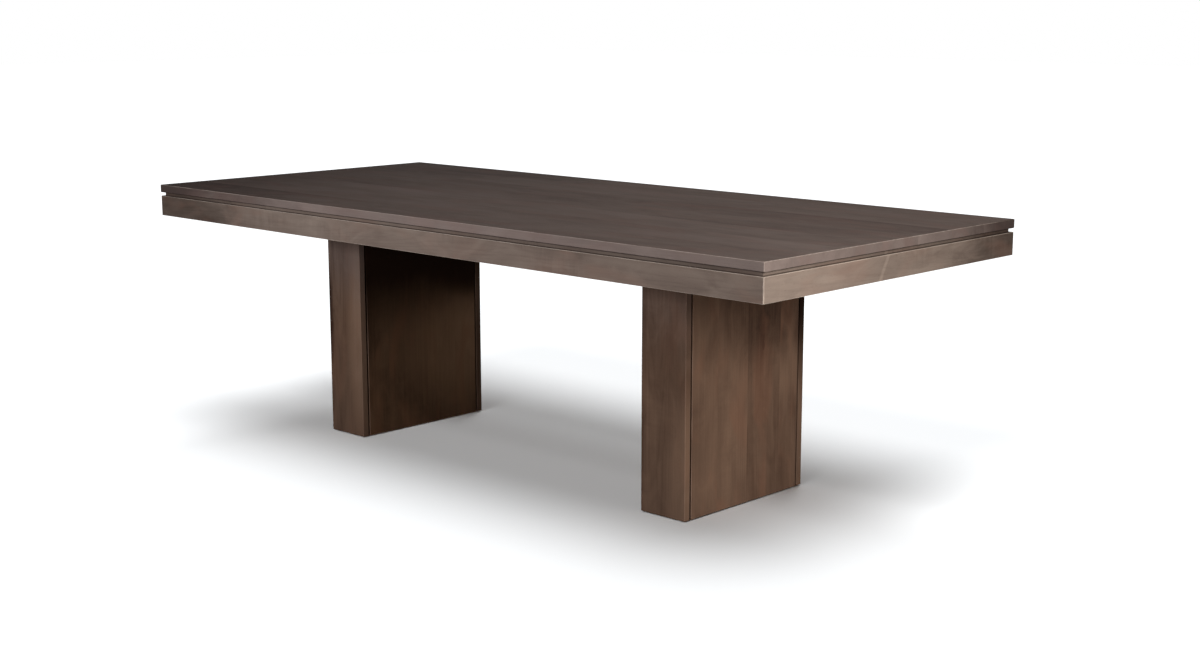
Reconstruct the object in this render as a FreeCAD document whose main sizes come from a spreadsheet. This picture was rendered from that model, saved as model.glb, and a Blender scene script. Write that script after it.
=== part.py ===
import FreeCAD, Part
import os
import re

import Sketcher
from FreeCAD import Placement, Rotation, Vector

# A solid-wood dining table on two box pedestals, in millimetres. The origin is on the floor under the
# middle of the top, +X runs along the table, -Y is its front and +Z is up.

doc = FreeCAD.newDocument("DoublePedestalTable")
sheet = doc.addObject("Spreadsheet::Sheet", "Sizes")

DRIVING = {
    # top of edge-glued boards
    "tableLength": 2400,
    "tableWidth": 1067,
    "tableHeight": 762,
    "topThick": 24,
    "boardCount": 7,
    "edgeRound": 1.5,
    # apron, with the reveal groove between it and the top
    "apronFace": 62,
    "apronThick": 20,
    "apronSetback": 1,
    "revealHigh": 10.5,
    "revealDeep": 10,
    # pedestals
    "pedestalSpacing": 1308,
    "pedestalWidth": 496,
    "pedestalThick": 152,
    "stockThick": 20,
    "seamWide": 6,
    "seamDeep": 5,
    "floorGap": 3,
    # plates, battens and blocks under the top and in the pedestals
    "plateThick": 28,
    "plateLedge": 44,
    "crossGap": 22,
    "battenWide": 70,
    "endBattenInset": 150,
    "blockThick": 25,
    "stripSide": 20,
    "cornerLeg": 70,
    "cornerTip": 8,
    "cornerHigh": 56,
    # kerf inside the apron and the clips that hook into it
    "kerfDrop": 14,
    "kerfHigh": 3,
    "kerfDeep": 8,
    "clipStock": 1.6,
    "clipWide": 16,
    "clipTongue": 7,
    "clipStandoff": 3,
    "clipReach": 24,
    # bolts, inserts and screws
    "boltRadius": 4,
    "boltGrip": 13,
    "boltEnd": 1,
    "hexAcross": 13,
    "hexTurned": 6.3,
    "hexHigh": 5.3,
    "washerRadius": 12,
    "washerThick": 1.6,
    "insertRadius": 6,
    "insertLong": 15,
    "screwRadius": 2.4,
    "screwGrip": 15,
    "screwHeadRadius": 4.8,
    "screwHeadHigh": 3,
    "washerHeadRadius": 7,
    "smallScrewRadius": 2,
    "smallScrewGrip": 13,
    "smallHeadRadius": 3.8,
    "smallHeadHigh": 2.4,
    "cornerScrewAt": 28,
    "cornerScrewSeat": 16,
    "cornerScrewGrip": 11,
    # levelling feet
    "footInset": 28,
    "padRadius": 15,
    "padHigh": 7,
    "padSpigot": 4,
    "padRound": 1.5,
    "studLong": 46,
    "nutRadius": 5.5,
    "nutLong": 14,
    "nutFlangeRadius": 11,
    "nutFlangeThick": 1.6,
    # clearances
    "runningGap": 0.05,
    "fitGap": 0.1,
    "looseGap": 1,
    "restGap": 0.3,
}

DERIVED = {
    "boardWide": "tableWidth / boardCount",
    "undersideZ": "tableHeight - topThick",
    "apronHigh": "apronFace + revealHigh",
    "apronZ": "undersideZ - apronHigh",
    "frameLength": "tableLength - 2 * apronSetback",
    "frameWidth": "tableWidth - 2 * apronSetback",
    "insideLength": "frameLength - 2 * apronThick",
    "insideWidth": "frameWidth - 2 * apronThick",
    "crossLong": "insideWidth - 2 * crossGap",
    "plateWide": "pedestalThick + 2 * plateLedge",
    "plateZ": "undersideZ - plateThick",
    "pedestalX": "pedestalSpacing / 2",
    "pedestalHigh": "plateZ - floorGap",
    "innerThick": "pedestalThick - 2 * stockThick",
    "innerWidth": "pedestalWidth - 2 * stockThick",
    "topBlockZ": "plateZ - blockThick",
    "bottomBlockZ": "padHigh + hexHigh + restGap + nutFlangeThick",
    "stripLong": "topBlockZ - bottomBlockZ - blockThick",
    "boltX": "(pedestalThick + plateLedge) / 2",
    "endBattenX": "insideLength / 2 - endBattenInset",
    "clipScrewIn": "(clipStandoff + clipStock + clipReach) / 2",
    "innerBayStart": "battenWide / 2",
    "innerBayEnd": "pedestalX - plateWide / 2",
    "outerBayStart": "pedestalX + plateWide / 2",
    "outerBayEnd": "endBattenX - battenWide / 2",
    "cornerZ": "undersideZ - cornerHigh",
    "footX": "innerThick / 2 - footInset",
    "footY": "innerWidth / 2 - footInset",
    "blockScrewX": "innerThick / 4",
    "blockScrewY": "innerWidth / 3",
}

for row, (alias, content) in enumerate(DRIVING.items(), 1):
    sheet.set(f"A{row}", alias)
    sheet.set(f"B{row}", str(content))
    sheet.setAlias(f"B{row}", alias)
for row, (alias, content) in enumerate(DERIVED.items(), 1):
    sheet.set(f"C{row}", alias)
    sheet.set(f"D{row}", "=" + content)
    sheet.setAlias(f"D{row}", alias)
doc.recompute()

# How far past a face a cutting outline reaches, so that it never lies on the face.
OVERCUT = 1
# The difference below which two coordinates, or two volumes, count as the same.
SAME = 1e-4

nodes = []


# Sizes: every word in a size text is a name in the sheet, apart from a function's name before its bracket.

def full(text):
    return re.sub(r"\b[A-Za-z]\w*\b(?!\()", r"Sizes.\g<0>", text)


def value(text):
    return float(sheet.evalExpression(full(text)))


def bind(thing, prop, text):
    thing.setExpression(prop, full(text))


def place(thing, x="0", y="0", z="0", turn=None):
    if turn is not None:
        thing.Placement = Placement(Vector(), turn)
    for axis, text in zip("xyz", (x, y, z)):
        bind(thing, f"Placement.Base.{axis}", text)


def about_z(degrees):
    return Rotation(Vector(0, 0, 1), degrees)


def keep(thing, label):
    thing.Label = label
    nodes.append(thing)
    return thing


# Bodies from sketches on their own origin planes

def new_body(label):
    return keep(doc.addObject("PartDesign::Body", "Body"), label)


def new_sketch(body, role, lift="0"):
    plane = next(item for item in body.Origin.OriginFeatures if item.Role == role)
    sketch = body.newObject("Sketcher::SketchObject", "Sketch")
    sketch.AttachmentSupport = [(plane, "")]
    sketch.MapMode = "FlatFace"
    bind(sketch, "AttachmentOffset.Base.z", lift)
    return sketch


def pin_point(sketch, element, point, x, y):
    for kind, text in (("DistanceX", x), ("DistanceY", y)):
        index = sketch.addConstraint(Sketcher.Constraint(kind, -1, 1, element, point, value(text)))
        bind(sketch, f"Constraints[{index}]", text)


def draw_outline(sketch, points):
    corners = [Vector(value(x), value(y), 0) for x, y in points]
    following = corners[1:] + corners[:1]
    for start, end in zip(corners, following):
        sketch.addGeometry(Part.LineSegment(start, end), False)
    for index, (x, y) in enumerate(points):
        sketch.addConstraint(Sketcher.Constraint("Coincident", index, 2, (index + 1) % len(points), 1))
        pin_point(sketch, index, 1, x, y)


def draw_rectangle(sketch, wide, deep):
    x, y = f"({wide}) / 2", f"({deep}) / 2"
    draw_outline(sketch, [(f"-{x}", f"-{y}"), (x, f"-{y}"), (x, y), (f"-{x}", y)])


def draw_circles(sketch, spots, radius):
    for x, y in spots:
        circle = Part.Circle(Vector(value(x), value(y), 0), Vector(0, 0, 1), value(radius))
        index = sketch.addGeometry(circle, False)
        pin_point(sketch, index, 3, x, y)
        size = sketch.addConstraint(Sketcher.Constraint("Radius", index, value(radius)))
        bind(sketch, f"Constraints[{size}]", radius)


def pad(body, sketch, length, symmetric=False):
    feature = body.newObject("PartDesign::Pad", "Pad")
    feature.Profile = sketch
    feature.SideType = "Symmetric" if symmetric else "One side"
    bind(feature, "Length", length)
    doc.recompute()


def confirm_cut(body, before):
    doc.recompute()
    if body.Shape.Volume > before - SAME:
        raise ValueError(f"a cut in {body.Label} removed nothing")


# Cuts along the sketch's normal, or against it, or through everything both ways where depth is None.
def pocket(body, sketch, depth=None, along_normal=True):
    before = body.Shape.Volume
    feature = body.newObject("PartDesign::Pocket", "Pocket")
    feature.Profile = sketch
    if depth is None:
        feature.SideType = "Symmetric"
        feature.Type = "ThroughAll"
        feature.Type2 = "ThroughAll"
    else:
        feature.Reversed = along_normal
        bind(feature, "Length", depth)
    confirm_cut(body, before)


def drill(body, spots, radius, depth=None, role="XY_Plane", lift="0", along_normal=True):
    sketch = new_sketch(body, role, lift)
    draw_circles(sketch, spots, radius)
    pocket(body, sketch, depth, along_normal)


# Countersunk holes down through a board from its upper face.
def countersink(body, spots, thick):
    sketch = new_sketch(body, "XY_Plane", thick)
    draw_circles(sketch, spots, "screwRadius + fitGap")
    doc.recompute()
    before = body.Shape.Volume
    feature = body.newObject("PartDesign::Hole", "Hole")
    feature.Profile = sketch
    feature.DepthType = "ThroughAll"
    feature.HoleCutType = "Countersink"
    feature.HoleCutCustomValues = True
    bind(feature, "Diameter", "2 * (screwRadius + fitGap)")
    bind(feature, "HoleCutDiameter", "2 * (screwHeadRadius + fitGap)")
    confirm_cut(body, before)


# Rounds the edges for which chosen(edge) is true.
def ease(body, chosen, radius="edgeRound"):
    base = body.Tip
    edges = [f"Edge{index}" for index, edge in enumerate(base.Shape.Edges, 1) if chosen(edge)]
    feature = body.newObject("PartDesign::Fillet", "Fillet")
    feature.Base = (base, edges)
    bind(feature, "Radius", radius)
    doc.recompute()


def same(first, second):
    return abs(first - second) < SAME


# True for a straight edge along one axis, "x", "y" or "z".
def runs(edge, axis):
    if len(edge.Vertexes) != 2:
        return False
    start, end = (vertex.Point for vertex in edge.Vertexes)
    return all(same(getattr(start, other), getattr(end, other)) for other in "xyz" if other != axis)


# True where the whole edge has this coordinate.
def lies(edge, axis, position):
    return all(same(getattr(vertex.Point, axis), position) for vertex in edge.Vertexes)


# Round fasteners and groups of them

def cylinder(radius, height, z="0"):
    made = doc.addObject("Part::Cylinder", "Cylinder")
    bind(made, "Radius", radius)
    bind(made, "Height", height)
    place(made, z=z)
    return made


def cone(low_radius, high_radius, height, z="0"):
    made = doc.addObject("Part::Cone", "Cone")
    bind(made, "Radius1", low_radius)
    bind(made, "Radius2", high_radius)
    bind(made, "Height", height)
    place(made, z=z)
    return made


def fuse(*pieces):
    made = doc.addObject("Part::MultiFuse", "Fuse")
    made.Shapes = list(pieces)
    return made


def cut(base, tool):
    made = doc.addObject("Part::Cut", "Cut")
    made.Base = base
    made.Tool = tool
    return made


# A hexagon standing on z, with the corners of its lower face turned off at 45 degrees.
def hexagon(height, z="0"):
    prism = doc.addObject("Part::Prism", "Prism")
    prism.Polygon = 6
    bind(prism, "Circumradius", "hexAcross / sqrt(3)")
    bind(prism, "Height", height)
    place(prism, z=z)
    made = doc.addObject("Part::Common", "Common")
    made.Base = prism
    made.Tool = cone("hexTurned", f"hexTurned + {height}", height, z)
    return made


# Copies of pieces, each (piece, x, y, z, turn), as separate solids of one object.
def copies(placed):
    made = doc.addObject("Part::Compound", "Copies")
    links = []
    for piece, x, y, z, turn in placed:
        link = doc.addObject("App::Link", "Copy")
        link.LinkedObject = piece
        place(link, x, y, z, turn)
        links.append(link)
    made.Links = links
    return made


# Places that several pieces share

# Screws and bolts that reach into the top stand on the centre lines of its boards, numbered from the middle.
outer_board = 3
board_numbers = range(-outer_board, outer_board + 1)
anchor_boards = (-2, 0, 2)
signs = (-1, 1)
thirds = ("innerBayStart * 2 / 3 + innerBayEnd / 3", "innerBayStart / 3 + innerBayEnd * 2 / 3")
long_clip_xs = thirds + ("(outerBayStart + outerBayEnd) / 2",)
batten_xs = ("-endBattenX", "0", "endBattenX")
bolt_xs = [f"{side} * pedestalX + {way} * boltX" for side in signs for way in signs]
block_screw_spots = [
    (f"{way} * blockScrewX", f"{row} * blockScrewY") for way in signs for row in (-1, 0, 1)
]
foot_spots = [(f"{way} * footX", f"{row} * footY") for way in signs for row in signs]

# Apron boards by name: how far each is turned from the front one, and where the middle of its outer face is.
aprons = {
    "front": (0, "frameLength", "0", "-frameWidth / 2"),
    "right": (90, "frameWidth", "frameLength / 2", "0"),
    "back": (180, "frameLength", "0", "frameWidth / 2"),
    "left": (-90, "frameWidth", "-frameLength / 2", "0"),
}
# Inside corners of the apron, each with the turn that brings a block's legs onto its two boards.
corners = {
    "front_left": (0, -1, -1),
    "front_right": (90, 1, -1),
    "back_right": (180, 1, 1),
    "back_left": (-90, -1, 1),
}
corner_screw_heights = ("cornerHigh / 3", "cornerHigh * 2 / 3")
pedestals = {"left": -1, "right": 1}


def front_or_back(end):
    return "front" if end < 0 else "back"


# A pedestal's outer face is the one turned to the nearer end of the table.
def outer_or_inner(way, side):
    return "outer" if way == side else "inner"


# The top

def top_board(number):
    body = new_body(f"top_board_{number + outer_board + 1}")
    sketch = new_sketch(body, "XY_Plane")
    draw_rectangle(sketch, "tableLength", "boardWide")
    pad(body, sketch, "topThick")
    half_length = value("tableLength / 2")
    outer_side = value(f"{number} / {outer_board} * boardWide / 2")

    def on_outline(edge):
        at_end = lies(edge, "x", half_length) or lies(edge, "x", -half_length)
        at_side = abs(number) == outer_board and lies(edge, "y", outer_side)
        return (at_end and runs(edge, "y")) or (at_side and runs(edge, "x")) or (at_end and at_side)

    ease(body, on_outline)
    drill(body, [(x, "0") for x in batten_xs], "screwRadius + fitGap", "screwGrip + looseGap")
    if number in anchor_boards:
        drill(body, [(x, "0") for x in bolt_xs], "insertRadius + fitGap", "insertLong")
        ends = [(f"{side} * (insideLength / 2 - clipScrewIn)", "0") for side in signs]
        drill(body, ends, "smallScrewRadius + fitGap", "smallScrewGrip + looseGap")
    if abs(number) == outer_board:
        way = number // outer_board
        y = f"{way} * (insideWidth / 2 - clipScrewIn - {outer_board} * boardWide)"
        sides = [(f"{side} * ({x})", y) for side in signs for x in long_clip_xs]
        drill(body, sides, "smallScrewRadius + fitGap", "smallScrewGrip + looseGap")
    place(body, y=f"{number} * boardWide", z="undersideZ")


# One apron board with its outer face on y = 0, mitred at both ends. Its section has a rabbet outside, along
# the top, and a kerf inside for the clips.
def apron(name, turn, length, x, y):
    body = new_body(f"{name}_apron")
    section = new_sketch(body, "YZ_Plane")
    draw_outline(section, [
        ("0", "0"),
        ("apronThick", "0"),
        ("apronThick", "apronHigh - kerfDrop - kerfHigh"),
        ("apronThick - kerfDeep", "apronHigh - kerfDrop - kerfHigh"),
        ("apronThick - kerfDeep", "apronHigh - kerfDrop"),
        ("apronThick", "apronHigh - kerfDrop"),
        ("apronThick", "apronHigh"),
        ("revealDeep", "apronHigh"),
        ("revealDeep", "apronFace"),
        ("0", "apronFace"),
    ])
    pad(body, section, length, symmetric=True)

    def on_arris(edge):
        outer = lies(edge, "y", 0) and (lies(edge, "z", 0) or lies(edge, "z", value("apronFace")))
        inner = lies(edge, "y", value("apronThick")) and lies(edge, "z", 0)
        return runs(edge, "x") and (outer or inner)

    ease(body, on_arris)
    for side in signs:
        mitre = new_sketch(body, "XY_Plane")
        draw_outline(mitre, [
            (f"{side} * ({length} / 2 + {OVERCUT})", f"-{OVERCUT}"),
            (f"{side} * ({length} / 2 + {OVERCUT})", f"apronThick + {OVERCUT}"),
            (f"{side} * ({length} / 2 - apronThick - {OVERCUT})", f"apronThick + {OVERCUT}"),
        ])
        pocket(body, mitre)
    pilots = [
        (f"{side} * ({length} / 2 - apronThick - cornerScrewAt)", f"apronHigh - cornerHigh + {height}")
        for side, height in zip(signs, corner_screw_heights)
    ]
    drill(body, pilots, "smallScrewRadius + fitGap", "cornerScrewGrip + looseGap", "XZ_Plane", "-apronThick")
    place(body, x, y, "apronZ", about_z(turn))


# A corner block with its square corner cut off, its legs along +X and +Y and a counterbored hole through each.
def corner_block(name, turn, side, end):
    body = new_body(f"corner_block_{name}")
    sketch = new_sketch(body, "XY_Plane")
    draw_outline(sketch, [
        ("cornerTip", "0"),
        ("cornerLeg", "0"),
        ("0", "cornerLeg"),
        ("0", "cornerTip"),
    ])
    pad(body, sketch, "cornerHigh")
    shank, head = "smallScrewRadius + fitGap", "smallHeadRadius + looseGap"
    low, high = [("cornerScrewAt", height) for height in corner_screw_heights]
    drill(body, [low], shank, role="XZ_Plane")
    drill(body, [low], head, "cornerLeg", "XZ_Plane", "-cornerScrewSeat", along_normal=False)
    drill(body, [high], shank, role="YZ_Plane")
    drill(body, [high], head, "cornerLeg", "YZ_Plane", "cornerScrewSeat")
    place(body, f"{side} * insideLength / 2", f"{end} * insideWidth / 2", "cornerZ", about_z(turn))


# A board across the underside of the top, with a wide screw hole on the centre line of every board of the
# top, so that the top can swell and shrink.
def batten(name, x):
    body = new_body(name)
    sketch = new_sketch(body, "XY_Plane")
    draw_rectangle(sketch, "battenWide", "crossLong")
    pad(body, sketch, "plateThick")
    ease(body, lambda edge: lies(edge, "z", 0))
    drill(body, [("0", f"{number} * boardWide") for number in board_numbers], "screwRadius + looseGap")
    place(body, x, z="plateZ")


def mounting_plate(name, side):
    body = new_body(f"{name}_mounting_plate")
    sketch = new_sketch(body, "XY_Plane")
    draw_rectangle(sketch, "plateWide", "crossLong")
    pad(body, sketch, "plateThick")
    ease(body, lambda edge: lies(edge, "z", 0))
    bolts = [(f"{way} * boltX", f"{number} * boardWide") for way in signs for number in anchor_boards]
    drill(body, bolts, "boltRadius + looseGap")
    countersink(body, block_screw_spots, "plateThick")
    place(body, f"{side} * pedestalX", z="plateZ")


# Pedestals

# A narrow end board, whose wide face is turned to the front or the back.
def end_board(name, side, end):
    body = new_body(f"{name}_pedestal_{front_or_back(end)}_board")
    sketch = new_sketch(body, "XY_Plane")
    draw_rectangle(sketch, "pedestalThick", "stockThick")
    pad(body, sketch, "pedestalHigh")
    ease(body, lambda edge: runs(edge, "z") or lies(edge, "z", 0))
    place(body, f"{side} * pedestalX", f"{end} * (pedestalWidth - stockThick) / 2", "floorGap")


# A wide panel with its outer face on x = 0, between the end boards, with a rabbet beside each of them that
# makes the narrow reveal.
def wide_panel(name, side, way):
    body = new_body(f"{name}_pedestal_{outer_or_inner(way, side)}_panel")
    sketch = new_sketch(body, "XY_Plane")
    face, back, step = "0", "-stockThick", "-seamDeep"
    half, half_face = "innerWidth / 2", "(innerWidth / 2 - seamWide)"
    draw_outline(sketch, [
        (back, f"-{half}"),
        (step, f"-{half}"),
        (step, f"-{half_face}"),
        (face, f"-{half_face}"),
        (face, half_face),
        (step, half_face),
        (step, half),
        (back, half),
    ])
    pad(body, sketch, "pedestalHigh")
    ease(body, lambda edge: lies(edge, "x", 0) and (runs(edge, "z") or lies(edge, "z", 0)))
    x = f"{side} * pedestalX + {way} * pedestalThick / 2"
    place(body, x, z="floorGap", turn=about_z(0 if way > 0 else 180))


def top_block(name, side):
    body = new_body(f"{name}_pedestal_top_block")
    sketch = new_sketch(body, "XY_Plane")
    draw_rectangle(sketch, "innerThick", "innerWidth")
    pad(body, sketch, "blockThick")
    drill(body, block_screw_spots, "screwRadius + fitGap")
    place(body, f"{side} * pedestalX", z="topBlockZ")


def bottom_block(name, side):
    body = new_body(f"{name}_pedestal_bottom_block")
    sketch = new_sketch(body, "XY_Plane")
    draw_rectangle(sketch, "innerThick", "innerWidth")
    pad(body, sketch, "blockThick")
    drill(body, foot_spots, "nutRadius + fitGap")
    place(body, f"{side} * pedestalX", z="bottomBlockZ")


def corner_strips(name, side):
    strip = doc.addObject("Part::Box", "Strip")
    bind(strip, "Length", "stripSide")
    bind(strip, "Width", "stripSide")
    bind(strip, "Height", "stripLong")
    placed = []
    for way in signs:
        for end in signs:
            x = f"{side} * pedestalX + {way} * (innerThick - stripSide) / 2 - stripSide / 2"
            y = f"{end} * (innerWidth - stripSide) / 2 - stripSide / 2"
            placed.append((strip, x, y, "bottomBlockZ + blockThick", None))
    keep(copies(placed), f"{name}_pedestal_corner_strips")


# Levelling feet, drawn standing on the floor

def foot_pad(name, x, y):
    body = new_body(f"{name}_foot_pad")
    sketch = new_sketch(body, "XZ_Plane")
    draw_outline(sketch, [
        ("0", "0"),
        ("padRadius", "0"),
        ("padRadius", "padHigh"),
        ("boltRadius + fitGap", "padHigh"),
        ("boltRadius + fitGap", "padHigh - padSpigot"),
        ("0", "padHigh - padSpigot"),
    ])
    feature = body.newObject("PartDesign::Revolution", "Revolution")
    feature.Profile = sketch
    feature.ReferenceAxis = (sketch, ["V_Axis"])
    feature.Angle = 360
    doc.recompute()
    rim = value("padRadius")
    ease(body, lambda edge: len(edge.Vertexes) == 1 and same(edge.Curve.Radius, rim), "padRound")
    place(body, x, y)


def foot_stud(name, x, y):
    rod = cylinder("boltRadius", "studLong", "padHigh - padSpigot")
    end = cone("boltRadius", "boltRadius - boltEnd", "boltEnd", "padHigh - padSpigot + studLong")
    stud = keep(fuse(rod, end, hexagon("hexHigh", "padHigh")), f"{name}_foot_stud")
    place(stud, x, y)


# Fasteners, each drawn once with its seat on z = 0, its head below and its shank upwards

def screw(head, radius, length):
    shank = cylinder(radius, f"{length} - 2 * {radius}")
    point = cone(radius, f"{radius} / 4", f"2 * {radius}", f"{length} - 2 * {radius}")
    return fuse(head, shank, point)


def small_screw(grip):
    head = cylinder("smallHeadRadius", "smallHeadHigh", "-smallHeadHigh")
    return screw(head, "smallScrewRadius", grip)


# This one points down, with the top of its head on z = 0, level with the plate's upper face.
def countersunk_screw():
    deep = "screwHeadRadius - screwRadius"
    head = cone("screwRadius", "screwHeadRadius", deep, f"-({deep})")
    length = "(plateThick + blockThick - looseGap)"
    shank = cylinder("screwRadius", f"{length} - 2 * screwRadius", f"2 * screwRadius - {length}")
    point = cone("screwRadius / 4", "screwRadius", "2 * screwRadius", f"-{length}")
    return fuse(head, shank, point)


def hexagon_bolt():
    shank = cylinder("boltRadius", "washerThick + plateThick + boltGrip")
    return fuse(hexagon("hexHigh", "-hexHigh"), shank)


def washer():
    disc = cylinder("washerRadius", "washerThick")
    return cut(disc, cylinder("boltRadius + fitGap", "washerThick"))


def threaded_insert():
    sleeve = cylinder("insertRadius", "insertLong")
    return cut(sleeve, cylinder("boltRadius + runningGap", "insertLong"))


def t_nut():
    flange = cylinder("nutFlangeRadius", "nutFlangeThick")
    barrel = cylinder("nutRadius", "nutFlangeThick + nutLong")
    return cut(fuse(flange, barrel), cylinder("boltRadius + runningGap", "nutFlangeThick + nutLong"))


# A clip with its tongue in the apron's kerf. The apron's inner face is y = 0 and the top's underside z = 0.
def clip():
    body = doc.addObject("PartDesign::Body", "Clip")
    section = new_sketch(body, "YZ_Plane")
    leg = "clipStandoff + clipStock"
    draw_outline(section, [
        ("-clipTongue", "-kerfDrop - clipStock"),
        (leg, "-kerfDrop - clipStock"),
        (leg, "-clipStock"),
        ("clipReach", "-clipStock"),
        ("clipReach", "0"),
        ("clipStandoff", "0"),
        ("clipStandoff", "-kerfDrop"),
        ("-clipTongue", "-kerfDrop"),
    ])
    pad(body, section, "clipWide", symmetric=True)
    drill(body, [("0", "clipScrewIn")], "smallScrewRadius + fitGap")
    return body


# One piece at every clip of each apron board, raised by z from the top's underside.
def along_aprons(label, piece, inset, z):
    rows = {
        "frameLength": [f"{side} * ({x})" for side in signs for x in long_clip_xs],
        "frameWidth": [f"{number} * boardWide" for number in anchor_boards],
    }
    lines = {
        length: copies([(piece, x, f"apronThick + {inset}", z, None) for x in row])
        for length, row in rows.items()
    }
    placed = [(lines[length], x, y, "undersideZ", about_z(turn)) for turn, length, x, y in aprons.values()]
    keep(copies(placed), label)


def corner_screws():
    piece = small_screw("cornerScrewSeat + cornerScrewGrip")
    into_first_leg = Rotation(Vector(0, 0, 1), Vector(0, -1, 0))
    into_other_leg = Rotation(Vector(0, 0, 1), Vector(-1, 0, 0))
    low, high = corner_screw_heights
    pair = copies([
        (piece, "cornerScrewAt", "cornerScrewSeat", low, into_first_leg),
        (piece, "cornerScrewSeat", "cornerScrewAt", high, into_other_leg),
    ])
    placed = [
        (pair, f"{side} * insideLength / 2", f"{end} * insideWidth / 2", "cornerZ", about_z(turn))
        for turn, side, end in corners.values()
    ]
    keep(copies(placed), "corner_block_screws")


# The same piece at every given x and y.
def everywhere(label, piece, spots, z):
    keep(copies([(piece, x, y, z, None) for x, y in spots]), label)


# Building

for number in board_numbers:
    top_board(number)
for name, (turn, length, x, y) in aprons.items():
    apron(name, turn, length, x, y)
for name, (turn, side, end) in corners.items():
    corner_block(name, turn, side, end)
for name, x in zip(("left_end_batten", "centre_batten", "right_end_batten"), batten_xs):
    batten(name, x)

nut_spots = []
for name, side in pedestals.items():
    mounting_plate(name, side)
    for end in signs:
        end_board(name, side, end)
    for way in signs:
        wide_panel(name, side, way)
    top_block(name, side)
    bottom_block(name, side)
    corner_strips(name, side)
    for way in signs:
        for end in signs:
            foot = f"{name}_{front_or_back(end)}_{outer_or_inner(way, side)}"
            x = f"{side} * pedestalX + {way} * footX"
            y = f"{end} * footY"
            foot_pad(foot, x, y)
            foot_stud(foot, x, y)
            nut_spots.append((x, y))

bolt_spots = [(x, f"{number} * boardWide") for x in bolt_xs for number in anchor_boards]
everywhere("plate_bolts", hexagon_bolt(), bolt_spots, "plateZ - washerThick")
everywhere("plate_bolt_washers", washer(), bolt_spots, "plateZ - washerThick")
everywhere("threaded_inserts", threaded_insert(), bolt_spots, "undersideZ")
everywhere("t_nuts", t_nut(), nut_spots, "bottomBlockZ - nutFlangeThick")

plate_screw_spots = [
    (f"{side} * pedestalX + {x}", y) for side in signs for x, y in block_screw_spots
]
everywhere("plate_screws", countersunk_screw(), plate_screw_spots, "undersideZ")

batten_spots = [(x, f"{number} * boardWide") for x in batten_xs for number in board_numbers]
washer_head = cylinder("washerHeadRadius", "screwHeadHigh", "-screwHeadHigh")
batten_screw = screw(washer_head, "screwRadius", "(plateThick + screwGrip)")
everywhere("batten_screws", batten_screw, batten_spots, "plateZ")

along_aprons("apron_clips", clip(), "0", "0")
along_aprons("clip_screws", small_screw("(clipStock + smallScrewGrip)"), "clipScrewIn", "-clipStock")
corner_screws()

doc.recompute()


# Checks and files

for thing in doc.Objects:
    if "Invalid" in thing.State or "Error" in thing.State:
        raise ValueError(f"{thing.Label} failed to build")
for node in nodes:
    if node.Shape.isNull() or not node.Shape.isValid() or not node.Shape.Solids:
        raise ValueError(f"{node.Label} has no valid solid")

os.makedirs("parts", exist_ok=True)
for node in nodes:
    node.Shape.exportStep(f"parts/{node.Label}.step")
print(len(nodes), "nodes,", sum(len(node.Shape.Solids) for node in nodes), "solids")
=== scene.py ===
import math
from functools import partialmethod
from itertools import product

import bpy
import numpy as np
from mathutils import Euler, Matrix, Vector


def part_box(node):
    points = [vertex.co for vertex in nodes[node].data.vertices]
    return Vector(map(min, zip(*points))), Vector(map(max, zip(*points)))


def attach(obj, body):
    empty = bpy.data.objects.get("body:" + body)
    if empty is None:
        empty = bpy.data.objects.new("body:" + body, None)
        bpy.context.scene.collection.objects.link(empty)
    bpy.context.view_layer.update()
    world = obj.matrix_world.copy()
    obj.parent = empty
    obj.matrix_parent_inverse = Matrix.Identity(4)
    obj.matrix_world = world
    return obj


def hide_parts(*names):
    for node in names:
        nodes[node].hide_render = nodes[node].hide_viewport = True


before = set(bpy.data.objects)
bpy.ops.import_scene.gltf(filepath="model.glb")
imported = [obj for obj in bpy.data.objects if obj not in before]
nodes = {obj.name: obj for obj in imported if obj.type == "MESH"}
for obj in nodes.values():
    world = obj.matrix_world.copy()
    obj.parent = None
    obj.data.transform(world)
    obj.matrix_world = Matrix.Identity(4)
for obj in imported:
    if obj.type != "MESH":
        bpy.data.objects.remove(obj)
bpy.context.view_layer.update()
scene = bpy.context.scene
scene.view_settings.view_transform = "Standard"
mm = 0.001
print("frame loaded:", len(nodes), "nodes")


# Shader helpers. Wire wraps one output socket, and arithmetic on it adds Math nodes.
class Wire:
    def __init__(self, graph, socket):
        self.graph = graph
        self.socket = socket

    # a Math node with this socket first
    def math(self, operation, *others):
        return self.graph.node("ShaderNodeMath", {"operation": operation}, dict(enumerate((self, *others))))

    def __rsub__(self, other):
        return self.graph.node("ShaderNodeMath", {"operation": "SUBTRACT"}, {0: other, 1: self})

    __add__ = __radd__ = partialmethod(math, "ADD")
    __sub__ = partialmethod(math, "SUBTRACT")
    __mul__ = __rmul__ = partialmethod(math, "MULTIPLY")
    __truediv__ = partialmethod(math, "DIVIDE")
    __pow__ = partialmethod(math, "POWER")
    __gt__ = partialmethod(math, "GREATER_THAN")
    most = partialmethod(math, "MAXIMUM")

    # 0 below low, 1 above high, and a smooth step between them
    def step(self, low, high):
        inputs = {"Value": self, "From Min": low, "From Max": high}
        return self.graph.node("ShaderNodeMapRange", {"interpolation_type": "SMOOTHSTEP"}, inputs)


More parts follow.
